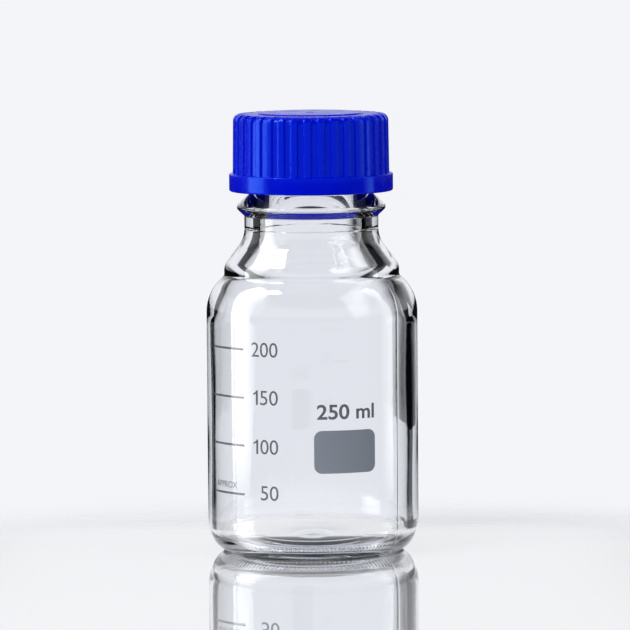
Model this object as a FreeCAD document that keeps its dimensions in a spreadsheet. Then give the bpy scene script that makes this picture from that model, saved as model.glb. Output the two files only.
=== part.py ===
import FreeCAD, Part
import math
import os

import Sketcher
from FreeCAD import Vector

# Reagent bottle with a screw cap, in millimetres.
# +Z runs up the bottle's axis, and the origin is the middle of the foot's resting plane.

SIZES = {
    # Foot and body of the glass
    "body_diameter": 70.0,
    "body_wall": 2.4,
    "body_height": 79.0,
    "heel_radius": 8.0,
    "foot_width": 2.5,
    "push_up_height": 3.5,
    "floor_thickness": 3.0,
    "heel_thickness": 3.0,
    "inner_heel_radius": 6.0,
    # Shoulder and the stepped collar above it
    "shoulder_radius": 16.0,
    "collar_setback": 6.0,
    "collar_step": 0.5,
    "collar_length": 2.2,
    "collar_edge_radius": 4.0,
    "collar_to_neck": 13.9,
    "inner_shoulder_radius": 18.0,
    "inner_shoulder_drop": 4.0,
    # Neck, transfer bead, threaded finish and lip
    "bore_diameter": 30.0,
    "bore_length": 24.0,
    "bore_flare_radius": 24.0,
    "neck_wall": 7.2,
    "neck_flare_radius": 10.0,
    "neck_to_bead": 6.8,
    "bead_projection": 2.3,
    "bead_nose_radius": 1.3,
    "bead_underside": 2.1,
    "bead_to_finish": 5.2,
    "finish_wall": 5.0,
    "finish_length": 15.3,
    "lip_wall": 4.2,
    "lip_length": 7.0,
    "lip_edge_radius": 1.2,
    # Pouring ring on the lip
    "ring_clearance": 0.15,
    "ring_wall": 1.1,
    "ring_ledge_gap": 0.5,
    "ring_thickness": 1.2,
    "ring_setback": 0.2,
    "ring_drip_edge": 0.7,
    # Seal in the cap
    "seal_thickness": 1.0,
    "seal_clearance": 0.3,
    # Screw cap
    "thread_depth": 2.5,
    "thread_clearance": 0.4,
    "cap_lead_in": 0.8,
    "cap_bead_gap": 0.4,
    "cap_skirt_wall": 2.35,
    "cap_top_thickness": 1.4,
    "cap_draft": 0.25,
    "disc_diameter": 35.0,
    "disc_height": 0.4,
    "flange_projection": 1.2,
    "flange_height": 5.8,
    "flange_edge_radius": 0.6,
    "rib_count": 36,
    "rib_height": 0.7,
    "rib_shoulder_radius": 2.2,
    "flute_width": 2.0,
    "flute_shoulder_radius": 3.0,
}

# Radii and heights that several pieces share
BODY_RADIUS = SIZES["body_diameter"] / 2
BORE_RADIUS = SIZES["bore_diameter"] / 2
COLLAR_RADIUS = BODY_RADIUS - SIZES["collar_setback"]
NECK_RADIUS = BORE_RADIUS + SIZES["neck_wall"]
FINISH_RADIUS = BORE_RADIUS + SIZES["finish_wall"]
LIP_RADIUS = BORE_RADIUS + SIZES["lip_wall"]
CAP_BORE_RADIUS = FINISH_RADIUS + SIZES["thread_depth"] + SIZES["thread_clearance"]

SHOULDER_REACH = SIZES["shoulder_radius"] - SIZES["collar_setback"] + SIZES["collar_step"]
SHOULDER_RISE = math.sqrt(SIZES["shoulder_radius"] ** 2 - SHOULDER_REACH ** 2)
STEP_HEIGHT = SIZES["body_height"] + SHOULDER_RISE
COLLAR_TOP = STEP_HEIGHT + SIZES["collar_length"]
NECK_BASE = COLLAR_TOP + SIZES["collar_to_neck"]
BEAD_HEIGHT = NECK_BASE + SIZES["neck_to_bead"]
FINISH_BASE = BEAD_HEIGHT + SIZES["bead_to_finish"]
LIP_BASE = FINISH_BASE + SIZES["finish_length"]
LIP_TOP = LIP_BASE + SIZES["lip_length"]
RING_TOP = LIP_TOP + SIZES["ring_thickness"]
CAP_CEILING = RING_TOP + SIZES["seal_thickness"]
CAP_RIM = CAP_CEILING + SIZES["cap_top_thickness"]
CAP_BOTTOM = FINISH_BASE + SIZES["cap_bead_gap"]
CAP_LEDGE = CAP_BOTTOM + SIZES["flange_height"]

FULL_TURN = 360.0
STRAIGHT = 1e-9

# A stretch's points, and a sketch's own axes and origin, as constraints number them
FIRST, LAST, CENTRE = range(1, 4)
FLAT_AXIS, UPRIGHT_AXIS = range(-1, -3, -1)
ORIGIN = (FLAT_AXIS, FIRST)

# The heights above the foot, as the sheet's own sums
STEP_SUM = "Sizes.body_height + sqrt(Sizes.shoulder_radius^2 - (Sizes.shoulder_radius" \
    " - Sizes.collar_setback + Sizes.collar_step)^2)"
NECK_BASE_SUM = STEP_SUM + " + Sizes.collar_length + Sizes.collar_to_neck"
FINISH_BASE_SUM = NECK_BASE_SUM + " + Sizes.neck_to_bead + Sizes.bead_to_finish"
LIP_BASE_SUM = FINISH_BASE_SUM + " + Sizes.finish_length"
LIP_TOP_SUM = LIP_BASE_SUM + " + Sizes.lip_length"
RING_TOP_SUM = LIP_TOP_SUM + " + Sizes.ring_thickness"
CEILING_SUM = RING_TOP_SUM + " + Sizes.seal_thickness"
RIM_SUM = CEILING_SUM + " + Sizes.cap_top_thickness"
CAP_BOTTOM_SUM = FINISH_BASE_SUM + " + Sizes.cap_bead_gap"
LEDGE_SUM = CAP_BOTTOM_SUM + " + Sizes.flange_height"

# The radii about the axis, as the sheet's own sums
BORE_SUM = "Sizes.bore_diameter / 2"
NECK_SUM = BORE_SUM + " + Sizes.neck_wall"
FINISH_SUM = BORE_SUM + " + Sizes.finish_wall"
LIP_SUM = BORE_SUM + " + Sizes.lip_wall"
RING_SUM = LIP_SUM + " + Sizes.ring_clearance"
CAP_BORE_SUM = FINISH_SUM + " + Sizes.thread_depth + Sizes.thread_clearance"
FLUTE_SUM = CAP_BORE_SUM + " + Sizes.cap_skirt_wall"
RIB_SUM = FLUTE_SUM + " + Sizes.rib_height"


def fill_sheet(doc):
    """Write each driving size to the sheet under its own alias."""
    sheet = doc.addObject("Spreadsheet::Sheet", "Sizes")
    for row, (name, value) in enumerate(SIZES.items(), start=1):
        sheet.set(f"A{row}", name)
        sheet.set(f"B{row}", str(value))
        sheet.setAlias(f"B{row}", name)
    doc.recompute()


def tangent_points(centre, radius, other, other_radius, turn):
    """Ends of the straight line that leaves one circle and meets another on its far side.

    turn is +1 or -1, the way that the line's normal is swung from the line of centres.
    """
    across = other[0] - centre[0]
    up = other[1] - centre[1]
    swing = math.acos((radius + other_radius) / math.hypot(across, up))
    angle = math.atan2(up, across) + turn * swing
    normal = (math.cos(angle), math.sin(angle))
    leaves = (centre[0] + radius * normal[0], centre[1] + radius * normal[1])
    meets = (other[0] - other_radius * normal[0], other[1] - other_radius * normal[1])
    return leaves, meets


def origin_feature(body, role):
    """One of a body's own origin planes or axes."""
    return next(item for item in body.Origin.OriginFeatures if item.Role == role)


class Outline:
    """A closed half-section in a body's XZ plane, drawn as one pen stroke."""

    def __init__(self, body, name, start):
        self.sketch = body.newObject("Sketcher::SketchObject", name)
        self.sketch.AttachmentSupport = (origin_feature(body, "XZ_Plane"), "")
        self.sketch.MapMode = "FlatFace"
        self.start = start
        self.pen = start
        self.stretches = []
        self.opening = None

    def tie(self, kind, *terms):
        """Add one constraint and return its number."""
        return self.sketch.addConstraint(Sketcher.Constraint(kind, *terms))

    def join(self, shape, first, last, smooth):
        """Add a stretch whose path runs from its point `first` to its point `last`."""
        index = self.sketch.addGeometry(shape, False)
        if self.stretches:
            kind = "Tangent" if smooth else "Coincident"
            self.tie(kind, *self.stretches[-1], index, first)
        else:
            self.opening = (index, first)
        self.stretches.append((index, last))
        return index

    def line(self, end, smooth=False):
        """A straight stretch from the pen to end."""
        begin = self.pen
        shape = Part.LineSegment(Vector(*begin, 0), Vector(*end, 0))
        index = self.join(shape, FIRST, LAST, smooth)
        if abs(begin[0] - end[0]) < STRAIGHT:
            self.tie("Vertical", index)
        elif abs(begin[1] - end[1]) < STRAIGHT:
            self.tie("Horizontal", index)
        self.pen = end
        return index

    def arc(self, end, centre, clockwise=False, smooth=False):
        """A round stretch from the pen to end about centre."""
        begin_angle = math.atan2(self.pen[1] - centre[1], self.pen[0] - centre[0])
        end_angle = math.atan2(end[1] - centre[1], end[0] - centre[0])
        radius = math.hypot(end[0] - centre[0], end[1] - centre[1])
        circle = Part.Circle(Vector(*centre, 0), Vector(0, 0, 1), radius)
        if clockwise:
            index = self.join(Part.ArcOfCircle(circle, end_angle, begin_angle), LAST, FIRST, smooth)
        else:
            index = self.join(Part.ArcOfCircle(circle, begin_angle, end_angle), FIRST, LAST, smooth)
        self.pen = end
        return index

    def close(self, smooth=False):
        """The last straight stretch, back to where the pen started."""
        index = self.line(self.start, smooth)
        self.tie("Coincident", index, LAST, *self.opening)

    def set_size(self, number, expression):
        self.sketch.setExpression(f"Constraints[{number}]", expression)

    def across(self, stretch, point, expression):
        """Distance of a point from the axis."""
        where = abs(self.sketch.getPoint(stretch, point).x)
        self.set_size(self.tie("DistanceX", *ORIGIN, stretch, point, where), expression)

    def up(self, stretch, point, expression):
        """Height of a point above the foot."""
        where = self.sketch.getPoint(stretch, point).y
        self.set_size(self.tie("DistanceY", *ORIGIN, stretch, point, where), expression)

    def radius(self, stretch, expression):
        size = self.sketch.Geometry[stretch].Radius
        self.set_size(self.tie("Radius", stretch, size), expression)

    def on_axis(self, stretch, point):
        self.tie("PointOnObject", stretch, point, UPRIGHT_AXIS)


def turned(body, name, outline):
    """A full turn of an outline about the bottle's axis."""
    feature = body.newObject("PartDesign::Revolution", name)
    feature.Profile = outline.sketch
    feature.ReferenceAxis = (outline.sketch, ["V_Axis"])
    feature.Angle = FULL_TURN
    outline.sketch.Visibility = False
    return feature


def new_body(doc, label):
    body = doc.addObject("PartDesign::Body", label)
    body.Label = label
    return body


def glass_bottle(doc):
    """Blown glass: foot, body, shoulder, collar, neck, bead, finish and lip, with one hollow."""
    size = SIZES
    body = new_body(doc, "glass_bottle")
    heel = size["heel_radius"]
    foot_outer = BODY_RADIUS - heel
    foot_inner = foot_outer - size["foot_width"]
    dome_top = size["push_up_height"]
    dome_radius = (foot_inner ** 2 + dome_top ** 2) / (2 * dome_top)

    # Underside: a shallow push-up inside a narrow resting ring, then the heel
    out = Outline(body, "glass_section", (0.0, dome_top))
    dome = out.arc((foot_inner, 0.0), (0.0, dome_top - dome_radius), clockwise=True)
    foot = out.line((foot_outer, 0.0))
    heel_arc = out.arc((BODY_RADIUS, heel), (foot_outer, heel), smooth=True)
    wall = out.line((BODY_RADIUS, size["body_height"]), smooth=True)

    # Shoulder up to the small step, then the collar's rounded edge
    shoulder_centre = (BODY_RADIUS - size["shoulder_radius"], size["body_height"])
    step_outer = COLLAR_RADIUS + size["collar_step"]
    shoulder = out.arc((step_outer, STEP_HEIGHT), shoulder_centre, smooth=True)
    out.line((COLLAR_RADIUS, STEP_HEIGHT))
    collar = out.line((COLLAR_RADIUS, COLLAR_TOP))
    collar_centre = (COLLAR_RADIUS - size["collar_edge_radius"], COLLAR_TOP)
    flare_centre = (NECK_RADIUS + size["neck_flare_radius"], NECK_BASE)
    leaves, meets = tangent_points(
        collar_centre, size["collar_edge_radius"], flare_centre, size["neck_flare_radius"], -1)
    collar_edge = out.arc(leaves, collar_centre, smooth=True)
    out.line(meets, smooth=True)
    neck_flare = out.arc((NECK_RADIUS, NECK_BASE), flare_centre, clockwise=True, smooth=True)

    # Transfer bead: a round nose between a short underside and a long cone
    nose = size["bead_nose_radius"]
    nose_centre = (NECK_RADIUS + size["bead_projection"] - nose, BEAD_HEIGHT)
    bead_foot = (NECK_RADIUS, BEAD_HEIGHT - size["bead_underside"])
    cone_top = (FINISH_RADIUS, FINISH_BASE)
    neck = out.line(bead_foot, smooth=True)
    under, _ = tangent_points(nose_centre, nose, bead_foot, 0.0, 1)
    over, _ = tangent_points(nose_centre, nose, cone_top, 0.0, -1)
    out.line(under)
    nose_arc = out.arc(over, nose_centre, smooth=True)
    cone = out.line(cone_top, smooth=True)

    # Finish, lip and bore
    edge = size["lip_edge_radius"]
    finish = out.line((FINISH_RADIUS, LIP_BASE))
    out.line((LIP_RADIUS, LIP_BASE))
    lip = out.line((LIP_RADIUS, LIP_TOP - edge))
    outer_edge = out.arc((LIP_RADIUS - edge, LIP_TOP), (LIP_RADIUS - edge, LIP_TOP - edge), smooth=True)
    rim = out.line((BORE_RADIUS + edge, LIP_TOP), smooth=True)
    inner_edge = out.arc((BORE_RADIUS, LIP_TOP - edge), (BORE_RADIUS + edge, LIP_TOP - edge), smooth=True)
    bore_end = LIP_TOP - size["bore_length"]
    bore = out.line((BORE_RADIUS, bore_end), smooth=True)

    # Inner shoulder, wall, heel and floor
    inner_radius = BODY_RADIUS - size["body_wall"]
    inner_start = size["body_height"] - size["inner_shoulder_drop"]
    inner_centre = (inner_radius - size["inner_shoulder_radius"], inner_start)
    bore_centre = (BORE_RADIUS + size["bore_flare_radius"], bore_end)
    leaves, meets = tangent_points(
        inner_centre, size["inner_shoulder_radius"], bore_centre, size["bore_flare_radius"], -1)
    bore_flare = out.arc(meets, bore_centre, smooth=True)
    out.line(leaves, smooth=True)
    inner_shoulder = out.arc((inner_radius, inner_start), inner_centre, clockwise=True, smooth=True)
    inner_heel = size["inner_heel_radius"]
    heel_centre = (inner_radius - inner_heel, size["heel_thickness"] + inner_heel)
    inner_wall = out.line((inner_radius, heel_centre[1]), smooth=True)
    floor_top = dome_top + size["floor_thickness"]
    rise = heel_centre[1] - floor_top
    floor_radius = (heel_centre[0] ** 2 + rise ** 2 - inner_heel ** 2) / (2 * (inner_heel - rise))
    floor_centre = (0.0, floor_top - floor_radius)
    share = floor_radius / (floor_radius + inner_heel)
    heel_end = (share * heel_centre[0], floor_centre[1] + share * (heel_centre[1] - floor_centre[1]))
    inner_heel_arc = out.arc(heel_end, heel_centre, clockwise=True, smooth=True)
    floor = out.arc((0.0, floor_top), floor_centre, smooth=True)
    out.close()

    out.on_axis(dome, LAST)
    out.on_axis(dome, CENTRE)
    out.on_axis(floor, CENTRE)
    out.tie("PointOnObject", foot, FIRST, FLAT_AXIS)
    out.up(dome, LAST, "Sizes.push_up_height")
    out.up(floor, LAST, "Sizes.push_up_height + Sizes.floor_thickness")
    out.across(foot, FIRST, "Sizes.body_diameter / 2 - Sizes.heel_radius - Sizes.foot_width")
    out.radius(heel_arc, "Sizes.heel_radius")
    out.across(wall, FIRST, "Sizes.body_diameter / 2")
    out.up(wall, LAST, "Sizes.body_height")
    out.radius(shoulder, "Sizes.shoulder_radius")
    out.across(shoulder, LAST, "Sizes.body_diameter / 2 - Sizes.collar_setback + Sizes.collar_step")
    out.across(collar, FIRST, "Sizes.body_diameter / 2 - Sizes.collar_setback")
    out.up(collar, LAST, STEP_SUM + " + Sizes.collar_length")
    out.radius(collar_edge, "Sizes.collar_edge_radius")
    out.radius(neck_flare, "Sizes.neck_flare_radius")
    out.across(neck, FIRST, NECK_SUM)
    out.up(neck, FIRST, NECK_BASE_SUM)
    out.up(neck, LAST, NECK_BASE_SUM + " + Sizes.neck_to_bead - Sizes.bead_underside")
    out.radius(nose_arc, "Sizes.bead_nose_radius")
    out.across(nose_arc, CENTRE, NECK_SUM + " + Sizes.bead_projection - Sizes.bead_nose_radius")
    out.up(nose_arc, CENTRE, NECK_BASE_SUM + " + Sizes.neck_to_bead")
    out.up(cone, LAST, FINISH_BASE_SUM)
    out.across(finish, FIRST, FINISH_SUM)
    out.up(finish, LAST, LIP_BASE_SUM)
    out.across(lip, FIRST, LIP_SUM)
    out.radius(outer_edge, "Sizes.lip_edge_radius")
    out.radius(inner_edge, "Sizes.lip_edge_radius")
    out.up(rim, FIRST, LIP_TOP_SUM)
    out.across(bore, FIRST, BORE_SUM)
    out.up(bore, LAST, LIP_TOP_SUM + " - Sizes.bore_length")
    out.radius(bore_flare, "Sizes.bore_flare_radius")
    out.radius(inner_shoulder, "Sizes.inner_shoulder_radius")
    out.across(inner_wall, FIRST, "Sizes.body_diameter / 2 - Sizes.body_wall")
    out.up(inner_wall, FIRST, "Sizes.body_height - Sizes.inner_shoulder_drop")
    out.radius(inner_heel_arc, "Sizes.inner_heel_radius")
    out.up(inner_wall, LAST, "Sizes.heel_thickness + Sizes.inner_heel_radius")
    turned(body, "glass_turned", out)
    return body


def pouring_ring(doc):
    """Drip ring on the lip: a thin skirt round it, a flat seat on its top and a sharp drip edge."""
    size = SIZES
    body = new_body(doc, "pouring_ring")
    mouth = BORE_RADIUS + size["ring_setback"]
    skirt_inner = LIP_RADIUS + size["ring_clearance"]
    skirt_outer = skirt_inner + size["ring_wall"]
    skirt_bottom = LIP_BASE + size["ring_ledge_gap"]
    drip_radius = skirt_outer + size["ring_drip_edge"]

    out = Outline(body, "ring_section", (mouth, LIP_TOP))
    seat = out.line((skirt_inner, LIP_TOP))
    out.line((skirt_inner, skirt_bottom))
    bottom = out.line((skirt_outer, skirt_bottom))
    skirt = out.line((skirt_outer, LIP_TOP))
    drip = out.line((drip_radius, RING_TOP))
    top = out.line((mouth, RING_TOP))
    out.close()

    out.across(seat, FIRST, BORE_SUM + " + Sizes.ring_setback")
    out.up(seat, FIRST, LIP_TOP_SUM)
    out.across(seat, LAST, RING_SUM)
    out.up(bottom, FIRST, LIP_BASE_SUM + " + Sizes.ring_ledge_gap")
    out.across(skirt, FIRST, RING_SUM + " + Sizes.ring_wall")
    out.up(skirt, LAST, LIP_TOP_SUM)
    out.across(drip, LAST, RING_SUM + " + Sizes.ring_wall + Sizes.ring_drip_edge")
    out.up(top, LAST, RING_TOP_SUM)
    turned(body, "ring_turned", out)
    return body


def seal_disc(doc):
    """Flat elastic disc that the cap presses onto the pouring ring."""
    body = new_body(doc, "seal_disc")
    seal_radius = CAP_BORE_RADIUS - SIZES["seal_clearance"]

    out = Outline(body, "seal_section", (0.0, RING_TOP))
    face = out.line((seal_radius, RING_TOP))
    edge = out.line((seal_radius, CAP_CEILING))
    out.line((0.0, CAP_CEILING))
    out.close()

    out.on_axis(face, FIRST)
    out.up(face, FIRST, RING_TOP_SUM)
    out.across(face, LAST, CAP_BORE_SUM + " - Sizes.seal_clearance")
    out.up(edge, LAST, CEILING_SUM)
    turned(body, "seal_turned", out)
    return body


def cap_shell(body):
    """The cap before its flutes: drafted skirt, flange, rounded shoulder, top disc and bore."""
    size = SIZES
    lead_in = size["cap_lead_in"]
    edge = size["flange_edge_radius"]
    rib_radius = CAP_BORE_RADIUS + size["cap_skirt_wall"] + size["rib_height"]
    flange_radius = rib_radius + size["flange_projection"]
    edge_across = flange_radius - edge
    round_over = size["rib_shoulder_radius"]
    round_centre = (rib_radius - size["cap_draft"] - round_over, CAP_RIM - round_over)
    skirt_top, _ = tangent_points(round_centre, round_over, (rib_radius, CAP_LEDGE), 0.0, 1)
    disc_radius = size["disc_diameter"] / 2
    disc_top = CAP_RIM + size["disc_height"]

    out = Outline(body, "cap_section", (CAP_BORE_RADIUS + lead_in, CAP_BOTTOM))
    bottom = out.line((edge_across, CAP_BOTTOM))
    low_edge = out.arc((flange_radius, CAP_BOTTOM + edge), (edge_across, CAP_BOTTOM + edge), smooth=True)
    flange = out.line((flange_radius, CAP_LEDGE - edge), smooth=True)
    high_edge = out.arc((edge_across, CAP_LEDGE), (edge_across, CAP_LEDGE - edge), smooth=True)
    ledge = out.line((rib_radius, CAP_LEDGE), smooth=True)
    out.line(skirt_top)
    shoulder = out.arc((round_centre[0], CAP_RIM), round_centre, smooth=True)
    rim = out.line((disc_radius, CAP_RIM), smooth=True)
    out.line((disc_radius, disc_top))
    disc = out.line((0.0, disc_top))
    out.line((0.0, CAP_CEILING))
    ceiling = out.line((CAP_BORE_RADIUS, CAP_CEILING))
    bore = out.line((CAP_BORE_RADIUS, CAP_BOTTOM + lead_in))
    out.close()

    out.across(bottom, FIRST, CAP_BORE_SUM + " + Sizes.cap_lead_in")
    out.up(bottom, FIRST, CAP_BOTTOM_SUM)
    out.radius(low_edge, "Sizes.flange_edge_radius")
    out.across(flange, FIRST, RIB_SUM + " + Sizes.flange_projection")
    out.radius(high_edge, "Sizes.flange_edge_radius")
    out.up(ledge, FIRST, LEDGE_SUM)
    out.across(ledge, LAST, RIB_SUM)
    out.radius(shoulder, "Sizes.rib_shoulder_radius")
    out.across(shoulder, CENTRE, RIB_SUM + " - Sizes.cap_draft - Sizes.rib_shoulder_radius")
    out.up(rim, FIRST, RIM_SUM)
    out.across(rim, LAST, "Sizes.disc_diameter / 2")
    out.up(disc, FIRST, RIM_SUM + " + Sizes.disc_height")
    out.on_axis(disc, LAST)
    out.up(ceiling, FIRST, CEILING_SUM)
    out.across(bore, FIRST, CAP_BORE_SUM)
    out.up(bore, LAST, CAP_BOTTOM_SUM + " + Sizes.cap_lead_in")
    return turned(body, "cap_turned", out)


def cap_flutes(body):
    """One flute from the flange's ledge up over the shoulder, repeated round the skirt.

    What stands between the flutes are the grip ribs. The flute's floor rounds over earlier than
    the ribs do, so that their ends stand clear of the shoulder.
    """
    size = SIZES
    floor_radius = CAP_BORE_RADIUS + size["cap_skirt_wall"]
    outside = floor_radius + size["rib_height"] + size["flange_projection"]
    round_over = size["flute_shoulder_radius"]
    round_centre = (floor_radius - size["cap_draft"] - round_over, CAP_RIM - round_over)
    floor_top, _ = tangent_points(round_centre, round_over, (floor_radius, CAP_LEDGE), 0.0, 1)

    out = Outline(body, "flute_section", (floor_radius, CAP_LEDGE))
    foot = out.line((outside, CAP_LEDGE))
    out.line((outside, CAP_RIM))
    roof = out.line((round_centre[0], CAP_RIM))
    shoulder = out.arc(floor_top, round_centre, clockwise=True, smooth=True)
    out.close(smooth=True)

    out.across(foot, FIRST, FLUTE_SUM)
    out.up(foot, FIRST, LEDGE_SUM)
    out.across(foot, LAST, RIB_SUM + " + Sizes.flange_projection")
    out.up(roof, LAST, RIM_SUM)
    out.radius(shoulder, "Sizes.flute_shoulder_radius")
    out.across(shoulder, CENTRE, FLUTE_SUM + " - Sizes.cap_draft - Sizes.flute_shoulder_radius")

    flute = body.newObject("PartDesign::Groove", "flute")
    flute.Profile = out.sketch
    flute.ReferenceAxis = (out.sketch, ["V_Axis"])
    flute.Midplane = True
    flute.setExpression("Angle", f"Sizes.flute_width / ({FLUTE_SUM}) * 180 / pi")
    out.sketch.Visibility = False

    flutes = body.newObject("PartDesign::PolarPattern", "flutes")
    flutes.Originals = [flute]
    flutes.Axis = (origin_feature(body, "Z_Axis"), [""])
    flutes.Angle = FULL_TURN
    flutes.setExpression("Occurrences", "Sizes.rib_count")
    body.Tip = flutes
    return flute, flutes


def screw_cap(doc):
    """Moulded cap with grip ribs above a smooth flange."""
    body = new_body(doc, "screw_cap")
    shell = cap_shell(body)
    doc.recompute()
    flute, flutes = cap_flutes(body)
    doc.recompute()
    one_flute = shell.Shape.Volume - flute.Shape.Volume
    all_flutes = shell.Shape.Volume - flutes.Shape.Volume
    if one_flute <= 0 or all_flutes < (SIZES["rib_count"] - 0.5) * one_flute:
        raise RuntimeError("the flutes are not all cut into the cap")
    return body


def check(doc, bodies):
    """Stop if any object failed, or any piece is not one valid solid."""
    for item in doc.Objects:
        if "Invalid" in item.State or "Error" in item.State:
            raise RuntimeError(f"{item.Name} failed: {item.State}")
    for body in bodies:
        shape = body.Shape
        if shape.isNull() or not shape.isValid() or len(shape.Solids) != 1:
            raise RuntimeError(f"{body.Label} is not one valid solid")


def main():
    doc = FreeCAD.newDocument("reagent_bottle")
    fill_sheet(doc)
    bodies = [glass_bottle(doc), pouring_ring(doc), seal_disc(doc), screw_cap(doc)]
    doc.recompute()
    check(doc, bodies)
    os.makedirs("parts", exist_ok=True)
    for body in bodies:
        body.Shape.exportStep(f"parts/{body.Label}.step")
        print(f"{body.Label}: {body.Shape.Volume / 1000:.2f} cm3")


main()
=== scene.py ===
import math

import bmesh
import bpy
from mathutils import Matrix, Vector

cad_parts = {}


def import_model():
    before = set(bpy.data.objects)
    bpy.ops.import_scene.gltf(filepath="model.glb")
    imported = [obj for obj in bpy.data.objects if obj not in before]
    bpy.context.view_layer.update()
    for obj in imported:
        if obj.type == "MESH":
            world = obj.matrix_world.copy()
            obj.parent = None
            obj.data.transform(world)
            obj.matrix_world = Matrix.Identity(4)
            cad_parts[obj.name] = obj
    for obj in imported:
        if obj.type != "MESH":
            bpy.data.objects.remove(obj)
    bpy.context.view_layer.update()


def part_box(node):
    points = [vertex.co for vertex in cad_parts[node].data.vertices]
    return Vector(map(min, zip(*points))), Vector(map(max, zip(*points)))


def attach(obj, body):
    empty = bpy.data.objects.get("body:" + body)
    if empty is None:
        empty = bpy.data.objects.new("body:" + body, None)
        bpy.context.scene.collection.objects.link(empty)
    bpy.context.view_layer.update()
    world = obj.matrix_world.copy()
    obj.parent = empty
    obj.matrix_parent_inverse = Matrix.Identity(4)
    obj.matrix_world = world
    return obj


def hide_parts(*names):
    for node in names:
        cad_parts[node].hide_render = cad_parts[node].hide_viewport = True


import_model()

# Reagent bottle with a screw cap. Sizes are in millimetres until a mesh is made, in metres.
# Angles run anticlockwise from +X, seen from above, and the front of the bottle is at -Y.
MM = 0.001
FULL_TURN = 2 * math.pi
FRONT = -FULL_TURN / 4
ON_AXIS = 1e-6


def node_size(node):
    """Radius, lowest point and highest point of a turned CAD node, in millimetres."""
    low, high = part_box(node)
    return high.x / MM, low.z / MM, high.z / MM


BODY_RADIUS, _, LIP_TOP = node_size("glass_bottle")
DRIP_RADIUS, RING_BOTTOM, RING_TOP = node_size("pouring_ring")
SEAL_RADIUS, SEAL_BOTTOM, SEAL_TOP = node_size("seal_disc")
FLANGE_RADIUS, CAP_BOTTOM, CAP_TOP = node_size("screw_cap")

# Print on the glass: enamel that stands a little proud of it
ENAMEL_DEPTH = 0.02
ENAMEL_SUNK = 0.02
GLASS_RADIUS = BODY_RADIUS - ENAMEL_DEPTH

# Glass body
WALL = 3.1
WALL_SHIFT = 0.4
BODY_HEIGHT = 79.0
HEEL_WIDTH = 7.0
HEEL_RISE = 11.5
HEEL_STEPS = 16
FOOT_OUTER = GLASS_RADIUS - HEEL_WIDTH
FOOT_INNER = FOOT_OUTER - 2.5
PUSH_UP = 3.5
FLOOR_THICKNESS = 3.0
HEEL_THICKNESS = 3.0
INNER_HEEL_ROUND = 6.0
SHOULDER_ROUND = 16.0
INNER_SHOULDER_ROUND = 18.0
INNER_SHOULDER_DROP = 4.0

# Collar and neck
COLLAR_RADIUS = 29.0
COLLAR_STEP = 0.5
COLLAR_LENGTH = 2.2
COLLAR_ROUND = 4.0
COLLAR_TO_NECK = 13.9
NECK_RADIUS = 22.2
NECK_ROUND = 10.0
NECK_LENGTH = 6.8
BEAD_RADIUS = 24.5
BEAD_ROUND = 1.3
BEAD_UNDERSIDE = 2.1
FINISH_RADIUS = 20.0
FINISH_LENGTH = 15.3
LIP_RADIUS = 19.2
LIP_LENGTH = 7.0
LIP_ROUND = 1.2
BORE_RADIUS = 15.0
INNER_NECK_RADIUS = 16.5
INNER_NECK_ROUND = 15.7

STEP_RADIUS = COLLAR_RADIUS + COLLAR_STEP
SHOULDER_SWEEP = math.acos(1 - (BODY_RADIUS - STEP_RADIUS) / SHOULDER_ROUND)
STEP_HEIGHT = BODY_HEIGHT + SHOULDER_ROUND * math.sin(SHOULDER_SWEEP)
COLLAR_TOP = STEP_HEIGHT + COLLAR_LENGTH
NECK_BASE = COLLAR_TOP + COLLAR_TO_NECK
BEAD_HEIGHT = NECK_BASE + NECK_LENGTH
LIP_BASE = LIP_TOP - LIP_LENGTH
FINISH_BASE = LIP_BASE - FINISH_LENGTH

# Screw thread, on the neck and in the cap
THREAD_PITCH = 4.0
THREAD_TURNS = 1.5
THREAD_START = FINISH_BASE + 4.4
THREAD_RUN_OUT = 0.15
NECK_THREAD_HEIGHT = 2.4
NECK_THREAD_HALF = 1.15
CAP_THREAD_HEIGHT = 1.7
CAP_THREAD_HALF = 0.8

# Cap
CAP_BORE_RADIUS = 22.9
CAP_LEAD_IN = 0.8
CAP_DRAFT = 0.25
FLANGE_HEIGHT = 5.8
FLANGE_ROUND = 0.6
FLANGE_PROJECTION = 1.2
RIB_COUNT = 36
RIB_HEIGHT = 0.7
RIB_ROUND = 2.2
FLUTE_WIDTH = 2.0
FLUTE_ROUND = 3.0
DISC_RADIUS = 17.5
DISC_HEIGHT = 0.4
CAP_TURNED = math.radians(2.5)

RIB_RADIUS = FLANGE_RADIUS - FLANGE_PROJECTION
FLUTE_RADIUS = RIB_RADIUS - RIB_HEIGHT
CAP_LEDGE = CAP_BOTTOM + FLANGE_HEIGHT
CAP_RIM = CAP_TOP - DISC_HEIGHT


def smooth_step(low, high, value):
    """0 below low, 1 above high and a smooth rise between them."""
    share = min(max((value - low) / (high - low), 0.0), 1.0)
    return share * share * (3 - 2 * share)


def hump(distance, width):
    """1 at distance 0, falling smoothly away over about width."""
    return math.exp(-(distance / width) ** 2)


def rounded(corners, steps=8):
    """Points along an outline whose corners, each (across, up, rounding), are rounded off."""
    points = [corners[0][:2]]
    for before, corner, after in zip(corners, corners[1:], corners[2:]):
        here = Vector(corner[:2])
        back = (Vector(before[:2]) - here).normalized()
        on = (Vector(after[:2]) - here).normalized()
        half = back.angle(on) / 2
        centre = here + (back + on).normalized() * corner[2] / math.sin(half)
        begin = here + back * corner[2] / math.tan(half) - centre
        end = here + on * corner[2] / math.tan(half) - centre
        sweep = begin.angle_signed(end)
        for step in range(steps + 1):
            spoke = Matrix.Rotation(-sweep * step / steps, 2) @ begin
            points.append(tuple(centre + spoke))
    points.append(corners[-1][:2])
    return points


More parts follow.
